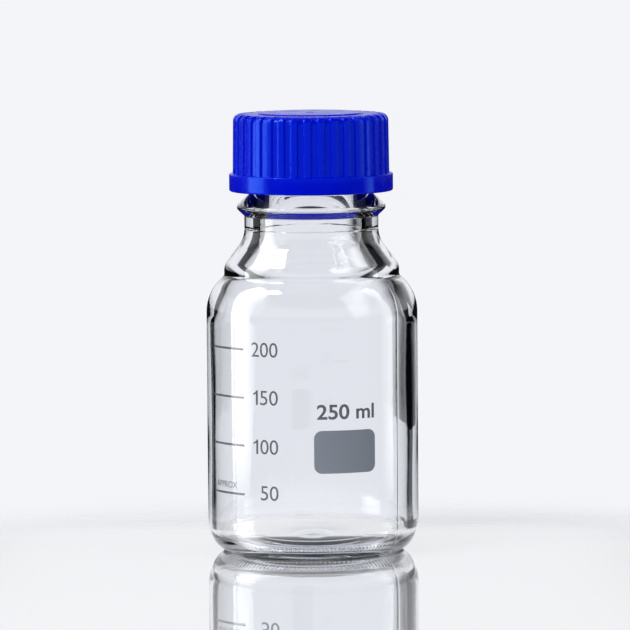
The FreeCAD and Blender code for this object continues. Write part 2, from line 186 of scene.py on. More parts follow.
def spaced(points, longest):
    """The same points with more between them, so that none are further apart than longest."""
    finer = [points[0]]
    for first, last in zip(points, points[1:]):
        pieces = max(1, math.ceil(math.dist(first, last) / longest))
        for piece in range(1, pieces + 1):
            share = piece / pieces
            finer.append(tuple(Vector(first).lerp(Vector(last), share)))
    return [finer[0]] + [here for last, here in zip(finer, finer[1:]) if math.dist(last, here) > 1e-6]


def lean_between(lower, lower_round, upper, upper_round):
    """Lean from upright of the straight stretch that leaves one round and meets the next."""
    across, up = upper[0] - lower[0], upper[1] - lower[1]
    return math.atan2(up, across) - math.acos((lower_round + upper_round) / math.hypot(across, up))


def even_angles(count):
    return [FULL_TURN * index / count for index in range(count)]


def divided(angles, share):
    """The same angles with each interval cut into share parts."""
    after = angles[1:] + [angles[0] + FULL_TURN]
    finer = []
    for low, high in zip(angles, after):
        finer += [low + (high - low) * part / share for part in range(share)]
    return finer


def ring(across, up, angles):
    """One turn of points about the axis, or a single point on it."""
    if across < ON_AXIS:
        return [(0.0, 0.0, up)]
    return [(across * math.cos(angle), across * math.sin(angle), up) for angle in angles]


def skinned(name, rings):
    """A closed mesh over rings that follow each other; counts of points may differ by a whole factor."""
    shape = bmesh.new()
    rows = [[shape.verts.new(Vector(point) * MM) for point in points] for points in rings]
    for lower, upper in zip(rows, rows[1:]):
        few, many = sorted((lower, upper), key=len)
        if len(few) == 1:
            for index, corner in enumerate(many):
                shape.faces.new((few[0], many[index - 1], corner))
            continue
        share = len(many) // len(few)
        for index, corner in enumerate(few):
            far = [many[(index - 1) * share + part] for part in range(share)] + [many[index * share]]
            shape.faces.new([corner, few[index - 1]] + far)
    bmesh.ops.recalc_face_normals(shape, faces=shape.faces)
    return finished(name, shape)


def finished(name, shape, smooth=True):
    """A Blender object from a bmesh."""
    for face in shape.faces:
        face.smooth = smooth
    mesh = bpy.data.meshes.new(name)
    shape.to_mesh(mesh)
    shape.free()
    piece = bpy.data.objects.new(name, mesh)
    bpy.context.scene.collection.objects.link(piece)
    return piece


def dress(piece, body, material, node=None):
    """Give a piece its material, the body that it moves with and the CAD node that it stands for."""
    piece.data.materials.append(material)
    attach(piece, body)
    if node:
        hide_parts(node)


def thread(angle, up, start, half_width):
    """How far the thread stands up at one point, from 0 to 1, tapered off at both ends."""
    along = (angle % FULL_TURN) / FULL_TURN
    turn = round((up - start) / THREAD_PITCH - along) + along
    gap = abs(up - start - turn * THREAD_PITCH)
    if gap >= half_width:
        return 0.0
    ends = smooth_step(0, THREAD_RUN_OUT, min(turn, THREAD_TURNS - turn))
    return ends * math.cos(gap / half_width * FULL_TURN / 4) ** 0.8


# Materials

SHEEN_SHARE = 0.035


class Wire:
    """A shader socket that Python expressions can work with."""

    def __init__(self, shader, socket):
        self.shader = shader
        self.socket = socket

    def __add__(self, other):
        return self.shader.maths("ADD", self, other)

    def __radd__(self, other):
        return self.shader.maths("ADD", other, self)

    def __sub__(self, other):
        return self.shader.maths("SUBTRACT", self, other)

    def __rsub__(self, other):
        return self.shader.maths("SUBTRACT", other, self)

    def __mul__(self, other):
        return self.shader.maths("MULTIPLY", self, other)

    def __rmul__(self, other):
        return self.shader.maths("MULTIPLY", other, self)


class Shader:
    """The nodes of one material or of the world."""

    def __init__(self, tree):
        self.tree = tree
        self.tree.nodes.clear()

    def node(self, kind, settings=None, sockets=None, output=0):
        """Add a node: its settings, then the values or links of its sockets; gives one output."""
        made = self.tree.nodes.new(kind)
        for name, value in (settings or {}).items():
            setattr(made, name, value)
        for name, value in (sockets or {}).items():
            if isinstance(value, Wire):
                self.tree.links.new(value.socket, made.inputs[name])
            else:
                made.inputs[name].default_value = value
        return Wire(self, made.outputs[output])

    def maths(self, operation, first, second):
        return self.node("ShaderNodeMath", {"operation": operation}, {0: first, 1: second})

    def coordinates(self, kind):
        return self.node("ShaderNodeTexCoord", output=kind)

    def noise(self, scale, detail=2.0):
        """Smooth noise from 0 to 1 over the piece, scale being its lumps to a metre."""
        return self.node("ShaderNodeTexNoise", None, {
            "Vector": self.coordinates("Object"), "Scale": scale, "Detail": detail})

    def ramp(self, value, low, high, bottom=0.0, top=1.0):
        """Smooth rise from bottom to top as value goes from low to high."""
        return self.node("ShaderNodeMapRange", {"interpolation_type": "SMOOTHSTEP"}, {
            "Value": value, "From Min": low, "From Max": high, "To Min": bottom, "To Max": top})

    def mixed(self, factor, first, second):
        """A colour between two colours."""
        return self.node("ShaderNodeMix", {"data_type": "RGBA"}, {0: factor, 6: first, 7: second}, 2)

    def bump(self, height, strength, distance):
        return self.node("ShaderNodeBump", None, {
            "Height": height, "Strength": strength, "Distance": distance})

    def surface(self, shading, target="ShaderNodeOutputMaterial"):
        end = self.tree.nodes.new(target)
        self.tree.links.new(shading.socket, end.inputs["Surface"])


def new_material(name):
    material = bpy.data.materials.new(name)
    material.use_nodes = True
    return material, Shader(material.node_tree)


def clear_glass():
    """Clear glass with the faint unevenness of a moulded surface."""
    material, shader = new_material("clear_glass")
    waves = shader.noise(scale=55.0)
    film = shader.noise(scale=30.0, detail=4.0)
    shader.surface(shader.node("ShaderNodeBsdfPrincipled", None, {
        "Base Color": (1, 1, 1, 1),
        "Roughness": shader.ramp(film, 0.45, 0.8, 0.0, 0.02),
        "IOR": 1.473,
        "Transmission Weight": 1.0,
        "Normal": shader.bump(waves, 0.04, 0.0008),
    }))
    return material


def moulded_plastic(name, pale, deep, roughness):
    """Half-gloss moulded plastic: slightly cloudy colour, a fine mould texture and uneven gloss.

    The faces inside the bore glow with painted light, an emission that stands in for light coming through
    the wall.
    """
    material, shader = new_material(name)
    flat = shader.node("ShaderNodeVectorMath", {"operation": "MULTIPLY"}, {
        0: shader.coordinates("Object"), 1: (1, 1, 0)})
    across = shader.node("ShaderNodeVectorMath", {"operation": "LENGTH"}, {0: flat}, "Value")
    up = shader.node("ShaderNodeSeparateXYZ", None, {0: shader.coordinates("Object")}, "Z")
    # Mask of the faces inside the bore, which get a painted blue glow instead of real light through the wall
    edge = (CAP_BORE_RADIUS + 0.1) * MM
    ceiling = (SEAL_TOP + 0.4) * MM
    within = 1 - shader.ramp(across, edge, edge + 0.0002)
    below = 1 - shader.ramp(up, ceiling, ceiling + 0.0004)
    painted_bore_glow = within * below
    cloud = shader.noise(scale=90.0, detail=3.0)
    flow = shader.noise(scale=420.0)
    wear = shader.noise(scale=260.0, detail=4.0)
    gloss = shader.ramp(wear, 0.3, 0.75, roughness - 0.05, roughness + 0.07)
    grain = shader.bump(flow, 0.05, 0.0001)
    plastic = shader.node("ShaderNodeBsdfPrincipled", None, {
        "Base Color": shader.mixed(cloud, deep, pale),
        "Roughness": gloss,
        "IOR": 1.49,
        "Specular IOR Level": 0.08,
        "Specular Tint": (0.1, 0.35, 1, 1),
        # Painted glow: blue emission on the faces inside the bore, standing in for light through the plastic
        "Emission Color": shader.mixed(painted_bore_glow, (0, 0, 0, 1), (0.001, 0.006, 0.25, 1)),
        "Emission Strength": 1.0,
        "Normal": grain,
    })
    sheen = shader.node("ShaderNodeBsdfPrincipled", None, {
        "Base Color": (0.06, 0.3, 1.0, 1),
        "Metallic": 1.0,
        "Roughness": shader.ramp(wear, 0.3, 0.75, 0.14, 0.20),
    })
    shader.surface(shader.node("ShaderNodeMixShader", None, {0: SHEEN_SHARE, 1: plastic, 2: sheen}))
    return material


def soft_rubber():
    """Soft blue rubber, matt and a little mottled, with a faint painted blue glow."""
    material, shader = new_material("seal_rubber")
    cloud = shader.noise(scale=140.0, detail=4.0)
    shader.surface(shader.node("ShaderNodeBsdfPrincipled", None, {
        "Base Color": shader.mixed(cloud, (0.010, 0.05, 0.46, 1), (0.018, 0.07, 0.56, 1)),
        "Roughness": shader.ramp(cloud, 0.3, 0.7, 0.5, 0.62),
        # Painted glow: a constant emission standing in for light that reaches the seal inside the cap
        "Emission Color": (0.001, 0.006, 0.2, 1),
        "Emission Strength": 1.0,
        "Normal": shader.bump(shader.noise(scale=1800.0), 0.08, 0.0001),
    }))
    return material


def enamel(name, colour):
    """Fired enamel print, with a slightly uneven edge of gloss."""
    material, shader = new_material(name)
    speckle = shader.noise(scale=1500.0, detail=3.0)
    dark = tuple(0.86 * part for part in colour[:3]) + (1,)
    shader.surface(shader.node("ShaderNodeBsdfPrincipled", None, {
        "Base Color": shader.mixed(speckle, dark, colour),
        "Roughness": shader.ramp(speckle, 0.3, 0.7, 0.08, 0.16),
        "IOR": 1.5,
    }))
    return material


# Glass bottle

SEAM_ANGLES = (FRONT + math.radians(52.7), FRONT + math.radians(232.7))
SEAM_HEIGHT = 0.10
SEAM_WIDTH = 0.28
SEAM_FOOT = 2.0
SEAM_FADE = 12.0
SEAM_CLEARANCE = math.radians(1.3)
STIPPLE_COUNT = 120
STIPPLE_DEPTH = 0.6
STIPPLE_WIDTH = 2.2
STIPPLE_TOP = 0.6
STIPPLE_SHARE = 3
INNER_RIPPLE = 0.06


def glass_columns():
    """Angles of the glass mesh's columns: even, with extra ones across the two mould seams."""
    beside = [math.radians(step) for step in (0.25, 0.5, 0.8)]
    angles = even_angles(2 * STIPPLE_COUNT)
    for seam in SEAM_ANGLES:
        clear_of_seam = []
        for angle in angles:
            if abs(math.remainder(angle - seam, FULL_TURN)) > SEAM_CLEARANCE:
                clear_of_seam.append(angle)
        angles = clear_of_seam
        angles += [(seam + side * step) % FULL_TURN for step in beside for side in (-1, 1)]
        angles.append(seam % FULL_TURN)
    return sorted(angles)


def outer_glass_outline():
    """Underside, heel, wall, shoulder, collar, neck, bead, finish and lip, from the axis outwards."""
    lean = lean_between(
        (COLLAR_RADIUS - COLLAR_ROUND, COLLAR_TOP), COLLAR_ROUND,
        (NECK_RADIUS + NECK_ROUND, NECK_BASE), NECK_ROUND)
    underside = rounded([
        (0.0, PUSH_UP, 0),
        (15.5, 2.35, 0.5),
        (16.2, 1.75, 0.5),
        (FOOT_INNER - 0.9, 0.75, 0.8),
        (FOOT_INNER, 0.0, 0.4),
        (FOOT_OUTER, 0.0, 0),
    ])
    heel = []
    for step in range(HEEL_STEPS + 1):
        turn = FULL_TURN / 4 * step / HEEL_STEPS
        heel.append((FOOT_OUTER + HEEL_WIDTH * math.sin(turn), HEEL_RISE * (1 - math.cos(turn))))
    shoulder_corner = BODY_HEIGHT + SHOULDER_ROUND * math.tan(SHOULDER_SWEEP / 2)
    sides = heel[:-1] + rounded([
        (GLASS_RADIUS, HEEL_RISE, 0),
        (GLASS_RADIUS, shoulder_corner, SHOULDER_ROUND - 1.5),
        (COLLAR_RADIUS - 0.1, STEP_HEIGHT + 0.3, 2.1),
        (COLLAR_RADIUS + 0.15, COLLAR_TOP + COLLAR_ROUND * math.tan(lean / 2), COLLAR_ROUND + 1),
        (NECK_RADIUS, NECK_BASE - NECK_ROUND * math.tan(lean / 2), NECK_ROUND),
        (NECK_RADIUS, NECK_BASE, 0),
    ], steps=14)
    neck = rounded([
        (NECK_RADIUS, NECK_BASE, 0),
        (NECK_RADIUS, BEAD_HEIGHT - BEAD_UNDERSIDE - 0.5, 0.6),
        (BEAD_RADIUS + 0.72, BEAD_HEIGHT + 0.2, BEAD_ROUND),
        (FINISH_RADIUS, FINISH_BASE, 0.8),
        (FINISH_RADIUS, FINISH_BASE + 1, 0),
    ])
    finish = rounded([
        (FINISH_RADIUS, FINISH_BASE + 1, 0),
        (FINISH_RADIUS, LIP_BASE, 0.5),
        (LIP_RADIUS, LIP_BASE + 0.3, 0.4),
        (LIP_RADIUS, LIP_TOP, LIP_ROUND),
        (BORE_RADIUS + LIP_ROUND, LIP_TOP, 0),
    ])
    return spaced(underside, 2) + spaced(sides, 3)[1:] + spaced(neck, 0.3)[1:] + spaced(finish, 0.3)[1:]


def inner_glass_outline():
    """Rim, bore, inner neck, inner shoulder, inner wall and floor, back to the axis."""
    inner = BODY_RADIUS - WALL
    shoulder_start = BODY_HEIGHT - INNER_SHOULDER_DROP
    lean = lean_between(
        (inner - INNER_SHOULDER_ROUND, shoulder_start), INNER_SHOULDER_ROUND,
        (INNER_NECK_RADIUS + INNER_NECK_ROUND, NECK_BASE), INNER_NECK_ROUND)
    floor_top = PUSH_UP + FLOOR_THICKNESS
    heel_across = inner - INNER_HEEL_ROUND
    rise = HEEL_THICKNESS + INNER_HEEL_ROUND - floor_top
    reach = heel_across ** 2 + rise ** 2 - INNER_HEEL_ROUND ** 2
    floor_round = reach / (2 * (INNER_HEEL_ROUND - rise))
    floor_sweep = math.asin(heel_across / (floor_round + INNER_HEEL_ROUND))
    heel_reach = INNER_HEEL_ROUND * math.tan(FULL_TURN / 8 + floor_sweep / 2)
    return spaced(rounded([
        (BORE_RADIUS + LIP_ROUND, LIP_TOP, 0),
        (BORE_RADIUS, LIP_TOP, LIP_ROUND * 0.99),
        (BORE_RADIUS, LIP_BASE + 1.0, 2.0),
        (INNER_NECK_RADIUS, LIP_BASE - 2.2, 2.0),
        (INNER_NECK_RADIUS, NECK_BASE - INNER_NECK_ROUND * math.tan(lean / 2), INNER_NECK_ROUND),
        (inner, shoulder_start + INNER_SHOULDER_ROUND * math.tan(lean / 2), INNER_SHOULDER_ROUND),
        (inner, HEEL_THICKNESS + INNER_HEEL_ROUND - heel_reach, INNER_HEEL_ROUND),
        (floor_round * math.tan(floor_sweep / 2), floor_top, floor_round * 0.99),
        (0.0, floor_top, 0),
    ], steps=14), 3)


def ripple(angle, up):
    """Slight unevenness of the glass's inner face, from -1 to 1."""
    waves = (3 * angle + up / 11, 7 * angle - up / 8 + 1, 2 * angle + up / 5)
    return sum(math.sin(wave) for wave in waves) / 3


def outer_glass_ring(across, up, angles):
    """One ring of the outer face, with the thread or the mould seams where it has them."""
    points = []
    for angle in angles:
        out = across
        if FINISH_BASE < up < LIP_BASE:
            out += NECK_THREAD_HEIGHT * thread(angle, up, THREAD_START, NECK_THREAD_HALF)
        if SEAM_FOOT < up < STEP_HEIGHT:
            gap = min(abs(math.remainder(angle - seam, FULL_TURN)) for seam in SEAM_ANGLES) * across
            out += SEAM_HEIGHT * hump(gap, SEAM_WIDTH) * smooth_step(0, SEAM_FADE, STEP_HEIGHT - up)
        points.append((out * math.cos(angle), out * math.sin(angle), up))
    return points


def stippled(points):
    """A foot ring with small feet all round it, that the bottle stands on."""
    lifted = []
    for x, y, up in points:
        wave = math.cos(STIPPLE_COUNT * math.atan2(y, x))
        past_foot = (math.hypot(x, y) - FOOT_OUTER) / STIPPLE_WIDTH
        depth = STIPPLE_DEPTH * (1 - smooth_step(0.5, 1.0, past_foot))
        lifted.append((x, y, up + depth * (0.5 - 0.5 * wave)))
    return lifted


def glass_bottle():
    columns = glass_columns()
    fine_columns = divided(columns, STIPPLE_SHARE)
    rings = []
    for across, up in outer_glass_outline():
        if FOOT_INNER < across < FOOT_OUTER + STIPPLE_WIDTH and up < STIPPLE_TOP:
            rings.append(stippled(ring(across, up, fine_columns)))
        elif across < ON_AXIS:
            rings.append(ring(across, up, columns))
        else:
            rings.append(outer_glass_ring(across, up, columns))
    for across, up in inner_glass_outline()[1:]:
        if across < ON_AXIS:
            rings.append(ring(across, up, columns))
            continue
        in_the_body = smooth_step(0, 10, across - INNER_NECK_RADIUS)
        points = []
        for angle in columns:
            out = across + INNER_RIPPLE * in_the_body * ripple(angle, up)
            points.append((out * math.cos(angle) - WALL_SHIFT * in_the_body, out * math.sin(angle), up))
        rings.append(points)
    return skinned("bottle_glass", rings)


# Pouring ring, seal and cap

def pouring_ring():
    """Drip ring: a skirt round the lip, a flat seat on it and a sharp drip edge."""
    mouth = BORE_RADIUS + 0.2
    skirt_inner = LIP_RADIUS + 0.15
    skirt_outer = skirt_inner + 1.1
    outline = rounded([
        (mouth + 1, LIP_TOP, 0),
        (skirt_inner, LIP_TOP, 0.1),
        (skirt_inner, RING_BOTTOM, 0.25),
        (skirt_outer, RING_BOTTOM, 0.3),
        (skirt_outer, LIP_TOP, 0.4),
        (DRIP_RADIUS, RING_TOP, 0.12),
        (mouth, RING_TOP, 0.35),
        (mouth, LIP_TOP, 0.2),
        (mouth + 1, LIP_TOP, 0),
    ], steps=5)
    rings = [ring(across, up, even_angles(160)) for across, up in spaced(outline, 2)]
    return looped("drip_ring", rings)


def looped(name, rings):
    """A closed mesh over rings of equal counts, the last joined to the first."""
    shape = bmesh.new()
    rows = [[shape.verts.new(Vector(point) * MM) for point in points] for points in rings[:-1]]
    for index, row in enumerate(rows):
        last = rows[index - 1]
        for column, corner in enumerate(row):
            shape.faces.new((last[column - 1], last[column], corner, row[column - 1]))
    bmesh.ops.recalc_face_normals(shape, faces=shape.faces)
    return finished(name, shape)


def seal_disc():
    """Flat elastic disc with eased edges."""
    outline = rounded([
        (0.0, SEAL_BOTTOM, 0),
        (SEAL_RADIUS, SEAL_BOTTOM, 0.2),
        (SEAL_RADIUS, SEAL_TOP, 0.2),
        (0.0, SEAL_TOP, 0),
    ], steps=4)
    return skinned("seal", [ring(across, up, even_angles(120)) for across, up in spaced(outline, 4)])


FLUTE_STATIONS = (0.6, 0.87, 0.98, 1.1, 1.22, 1.5)
FLUTE_HALF = FLUTE_WIDTH / FLUTE_RADIUS / 2


def cap_columns():
    """Angles of the cap's columns: close together on the flanks of each flute."""
    pitch = FULL_TURN / RIB_COUNT
    steps = [0.0, pitch / 2]
    for station in FLUTE_STATIONS:
        steps += [-FLUTE_HALF * station, FLUTE_HALF * station]
    return [index * pitch + step for index in range(RIB_COUNT) for step in sorted(steps)]


def rib_share(angle):
    """0 on a flute's floor, 1 on top of a rib."""
    gap = abs(math.remainder(angle, FULL_TURN / RIB_COUNT))
    return smooth_step(0.85, 1.25, gap / FLUTE_HALF)


def cap_outside(skirt_radius, shoulder_round):
    """Outline from the bottom rim over the flange, skirt and top to the axis."""
    return rounded([
        (CAP_BORE_RADIUS + CAP_LEAD_IN, CAP_BOTTOM, 0),
        (FLANGE_RADIUS, CAP_BOTTOM, FLANGE_ROUND),
        (FLANGE_RADIUS, CAP_LEDGE, FLANGE_ROUND * 0.6),
        (skirt_radius, CAP_LEDGE, 0.2),
        (skirt_radius - CAP_DRAFT, CAP_RIM, shoulder_round),
        (DISC_RADIUS + 0.35, CAP_RIM, 0.25),
        (DISC_RADIUS, CAP_TOP, 0.25),
        (1.6, CAP_TOP, 0.15),
        (1.35, CAP_TOP - 0.15, 0.1),
        (0.0, CAP_TOP - 0.15, 0),
    ], steps=7)


def cap_inside():
    """Outline from the axis under the top, down the bore to the bottom rim."""
    return spaced(rounded([
        (0.0, SEAL_TOP, 0),
        (CAP_BORE_RADIUS, SEAL_TOP, 0.3),
        (CAP_BORE_RADIUS, CAP_BOTTOM + CAP_LEAD_IN, 0.3),
        (CAP_BORE_RADIUS + CAP_LEAD_IN, CAP_BOTTOM, 0),
    ], steps=4), 0.4)


def screw_cap():
    """Moulded cap: grip ribs above a smooth flange, with the thread in its bore."""
    columns = cap_columns()
    coarse = columns[::4]
    rings = []
    for rib, flute in zip(cap_outside(RIB_RADIUS, RIB_ROUND), cap_outside(FLUTE_RADIUS, FLUTE_ROUND)):
        if rib[0] < ON_AXIS:
            rings.append(ring(*rib, columns))
            continue
        points = []
        for angle in columns:
            across, up = Vector(flute).lerp(Vector(rib), rib_share(angle))
            points.append((across * math.cos(angle), across * math.sin(angle), up))
        rings.append(points)
    thread_start = THREAD_START + THREAD_PITCH / 2
    inside = cap_inside()
    for across, up in reversed(inside[:-1]):
        points = []
        for angle in coarse:
            depth = 0.0
            if abs(across - CAP_BORE_RADIUS) < 1e-3:
                depth = CAP_THREAD_HEIGHT * thread(angle, up, thread_start, CAP_THREAD_HALF)
            points.append(((across - depth) * math.cos(angle), (across - depth) * math.sin(angle), up))
        rings.append(points if across > ON_AXIS else ring(across, up, coarse))
    rings = rings[::-1]
    turn = Matrix.Rotation(CAP_TURNED, 3, "Z")
    return skinned("cap", [[turn @ Vector(point) for point in points] for points in rings])


# Print on the front of the glass

LINE_HEIGHTS = {200: 69.35, 150: 53.45, 100: 37.65, 50: 21.55}
NUMBER_HEIGHTS = {200: 69.5, 150: 53.75, 100: 37.6, 50: 22.4}
LINE_THICKNESS = 0.72
LINE_FROM = BODY_RADIUS * math.radians(-67.3)
LINE_TO = BODY_RADIUS * math.radians(-40.0)
FIGURE_HEIGHT = 4.8
NUMBER_END = math.radians(-18.9)
FIGURE_WIDTH = 3.2
ONE_GAP = 0.85
PANEL_LEFT = BODY_RADIUS * math.radians(0.65)
PANEL_RIGHT = BODY_RADIUS * math.radians(35.5)
PANEL_BOTTOM = 29.1
PANEL_TOP = 43.2
PANEL_ROUND = 2.6
PRINT_SLICE = 0.6


def on_the_glass(name, sheet, material):
    """Bend a flat print, in millimetres with 0 at the front, round the body as a thin layer."""
    across = [vert.co.x for vert in sheet.verts]
    cuts = math.ceil((max(across) - min(across)) / PRINT_SLICE)
    for cut in range(1, cuts):
        place = min(across) + (max(across) - min(across)) * cut / cuts
        everything = sheet.verts[:] + sheet.edges[:] + sheet.faces[:]
        bmesh.ops.bisect_plane(sheet, geom=everything, plane_co=(place, 0, 0), plane_no=(1, 0, 0))
    raised = bmesh.ops.extrude_face_region(sheet, geom=sheet.faces[:])["geom"]
    for vert in sheet.verts:
        vert.co.z = -ENAMEL_SUNK
    for vert in raised:
        if isinstance(vert, bmesh.types.BMVert):
            vert.co.z = ENAMEL_DEPTH
    for vert in sheet.verts:
        angle = FRONT + vert.co.x / BODY_RADIUS
        out = GLASS_RADIUS + vert.co.z
        vert.co = Vector((out * math.cos(angle), out * math.sin(angle), vert.co.y)) * MM
    bmesh.ops.recalc_face_normals(sheet, faces=sheet.faces)
    piece = finished(name, sheet, smooth=False)
    dress(piece, "bottle", material)
    return piece


def flat_shape(points):
    sheet = bmesh.new()
    sheet.faces.new([sheet.verts.new((across, up, 0)) for across, up in points])
    return sheet


def flat_words(words, height, weight=0.0):
    """Lettering as a flat sheet, scaled to a height of its figures in millimetres."""
    text = bpy.data.curves.new("words", "FONT")
    text.body = words
    text.offset = weight
    holder = bpy.data.objects.new("words", text)
    bpy.context.scene.collection.objects.link(holder)
    mesh = bpy.data.meshes.new_from_object(holder.evaluated_get(bpy.context.evaluated_depsgraph_get()))
    sheet = bmesh.new()
    sheet.from_mesh(mesh)
    bpy.data.objects.remove(holder)
    bpy.data.curves.remove(text)
    bpy.data.meshes.remove(mesh)
    bmesh.ops.remove_doubles(sheet, verts=sheet.verts, dist=1e-5)
    up = [vert.co.y for vert in sheet.verts]
    for vert in sheet.verts:
        vert.co *= height / (max(up) - min(up))
    return sheet


def placed(sheet, middle, width, centre=None, end=None):
    """Set a flat sheet's width, its middle height, and its centre or right end, as angles from the front."""
    across = [vert.co.x for vert in sheet.verts]
    up = [vert.co.y for vert in sheet.verts]
    stretch = width / (max(across) - min(across))
    left = BODY_RADIUS * (centre if end is None else end) - width * (0.5 if end is None else 1.0)
    for vert in sheet.verts:
        vert.co.x = left + (vert.co.x - min(across)) * stretch
        vert.co.y += middle - (max(up) + min(up)) / 2
    return sheet


def bar(left, right, low, high):
    return flat_shape([(left, low), (right, low), (right, high), (left, high)])


def figure_one(right, low):
    """The figure 1: an upright stroke with a short flag at its top."""
    stroke = [(-0.72, 0), (0, 0), (0, 1), (-0.5, 1)]
    flag = [(-0.9, 0.88), (-1.8, 0.79), (-1.8, 0.67), (-0.72, 0.76)]
    return flat_shape([(right + across, low + FIGURE_HEIGHT * share) for across, share in stroke + flag])


def rounded_panel(left, right, low, high, rounding):
    start = ((left + right) / 2, low, 0)
    outline = rounded([
        start,
        (right, low, rounding),
        (right, high, rounding),
        (left, high, rounding),
        (left, low, rounding),
        start,
    ])
    return flat_shape(outline[:-1])


def volume_marks():
    """Scale lines with their numbers, the nominal volume and a field to write on."""
    ink = enamel("mark_enamel", (0.150, 0.155, 0.185, 1))
    panel_ink = enamel("panel_enamel", (0.245, 0.275, 0.325, 1))
    for volume, height in LINE_HEIGHTS.items():
        line = bar(LINE_FROM, LINE_TO, height - LINE_THICKNESS / 2, height + LINE_THICKNESS / 2)
        on_the_glass(f"scale_line_{volume}", line, ink)
        figures = str(volume).lstrip("1")
        width = FIGURE_WIDTH * len(figures)
        number = placed(flat_words(figures, FIGURE_HEIGHT), NUMBER_HEIGHTS[volume], width, end=NUMBER_END)
        on_the_glass(f"scale_number_{volume}", number, ink)
        if len(figures) < len(str(volume)):
            right = BODY_RADIUS * NUMBER_END - width - ONE_GAP
            one = figure_one(right, NUMBER_HEIGHTS[volume] - FIGURE_HEIGHT / 2)
            on_the_glass(f"scale_figure_{volume}", one, ink)
    about = placed(flat_words("APPROX", 2.1), 24.3, 11.6, centre=math.radians(-55))
    on_the_glass("scale_note", about, ink)
    nominal = placed(flat_words("250 ml", 5.0, weight=0.02), 49.3, 20.0, centre=math.radians(18.6))
    on_the_glass("nominal_volume", nominal, ink)
    panel = rounded_panel(PANEL_LEFT, PANEL_RIGHT, PANEL_BOTTOM, PANEL_TOP, PANEL_ROUND)
    on_the_glass("writing_field", panel, panel_ink)


# Studio, in metres

CAMERA_DISTANCE = 1.85
CAMERA_HEIGHT = 0.243
CAMERA_AIM = Vector((0.0010, 0.0, 0.0781))
CAMERA_ROLL = math.radians(-0.40)


def camera():
    """Long lens, a little above the bottle and straight in front of it."""
    lens = bpy.data.cameras.new("camera")
    lens.sensor_width = 36.0
    lens.lens = 319.7
    lens.clip_end = 50.0
    pitch = math.atan2(CAMERA_HEIGHT - CAMERA_AIM.z, CAMERA_DISTANCE)
    holder = bpy.data.objects.new("camera", lens)
    place = Matrix.Translation((CAMERA_AIM.x, -CAMERA_DISTANCE, CAMERA_HEIGHT))
    tilt = Matrix.Rotation(FULL_TURN / 4 - pitch, 4, "X")
    holder.matrix_world = place @ tilt @ Matrix.Rotation(CAMERA_ROLL, 4, "Z")
    bpy.context.scene.collection.objects.link(holder)
    bpy.context.scene.camera = holder


RAYS = ("camera", "diffuse", "glossy", "transmission", "shadow")
BACKDROP_COLOUR = (0.81, 0.835, 0.90, 1)
# Outlines of the soft boxes: along by up at the sides, across by along overhead. The small high box
# makes the bright spots where the ribs round over into the top of the cap.
SIDE_BOX_DISTANCE = 0.6
LEFT_BOX = (
    (-0.34, 0.015), (-0.14, -0.08), (0.05, -0.08), (0.075, 0.0), (0.075, 0.2), (0.22, 0.64),
    (0.22, 1.05), (-0.22, 1.05), (-0.3, 0.45), (-0.24, 0.07), (-0.22, 0.035))
RIGHT_BOX = ((-0.15, -0.08), (0.07, -0.08), (0.02, 0.4), (0.16, 0.7), (0.16, 0.9), (-0.08, 0.9))
TOP_BOX = ((-0.4, 0.17), (0.4, 0.17), (0.4, 0.75), (-0.4, 0.75))
TOP_BOX_HEIGHT = 0.7
HIGH_BOX = ((-0.51, -0.25), (-0.35, -0.25), (-0.35, -0.09), (-0.51, -0.09))
HIGH_BOX_HEIGHT = 0.8
CARD_STEPS = 24
LAMP_AIM = Vector((0, 0, 0.08))
FLOOR_RADIUS = 0.32
FLOOR_DROP = 0.0001


def staged(card, material, seen_by):
    """Set up a studio card that only these kinds of rays meet."""
    card.data.materials.append(material)
    for ray in RAYS:
        setattr(card, f"visible_{ray}", ray in seen_by)


def flat_card(name, corners, material, seen_by):
    shape = bmesh.new()
    shape.faces.new([shape.verts.new(corner) for corner in corners])
    staged(finished(name, shape, smooth=False), material, seen_by)


def curved_card(name, distance, first, last, low, high, material, seen_by):
    """An upright card round the bottle, between two bearings in degrees to the right of the front."""
    shape = bmesh.new()
    rows = []
    for step in range(CARD_STEPS + 1):
        angle = FRONT + math.radians(first + (last - first) * step / CARD_STEPS)
        across = distance * math.cos(angle)
        along = distance * math.sin(angle)
        rows.append([shape.verts.new((across, along, up)) for up in (low, high)])
    for here, there in zip(rows, rows[1:]):
        shape.faces.new((here[0], there[0], there[1], here[1]))
    staged(finished(name, shape), material, seen_by)


def glowing(name, strength, colour=(1, 1, 1, 1), fades=(), to_black=False):
    """Material of a soft box or card; a fade is an axis and the places where it is gone and full."""
    material, shader = new_material(name)
    glow = shader.node("ShaderNodeEmission", None, {"Color": colour, "Strength": strength})
    gap = shader.node("ShaderNodeBsdfTransparent")
    if to_black:
        gap = shader.node("ShaderNodeEmission", None, {"Strength": 0.0})
    for axis, gone, full in fades:
        along = shader.node("ShaderNodeSeparateXYZ", None, {0: shader.coordinates("Object")}, axis)
        share = shader.ramp(along, gone, full)
        glow = shader.node("ShaderNodeMixShader", None, {0: share, 1: gap, 2: glow})
    shader.surface(glow)
    return material


def lamp(name, place, width, height, power):
    """A soft lamp aimed at the bottle; the soft boxes make its reflections."""
    light = bpy.data.lights.new(name, "AREA")
    light.shape = "RECTANGLE"
    light.size = width
    light.size_y = height
    light.energy = power
    holder = bpy.data.objects.new(name, light)
    holder.location = place
    holder.rotation_mode = "QUATERNION"
    holder.rotation_quaternion = (LAMP_AIM - Vector(place)).to_track_quat("-Z", "Y")
    holder.visible_camera = False
    holder.visible_glossy = False
    holder.visible_transmission = False
    bpy.context.scene.collection.objects.link(holder)


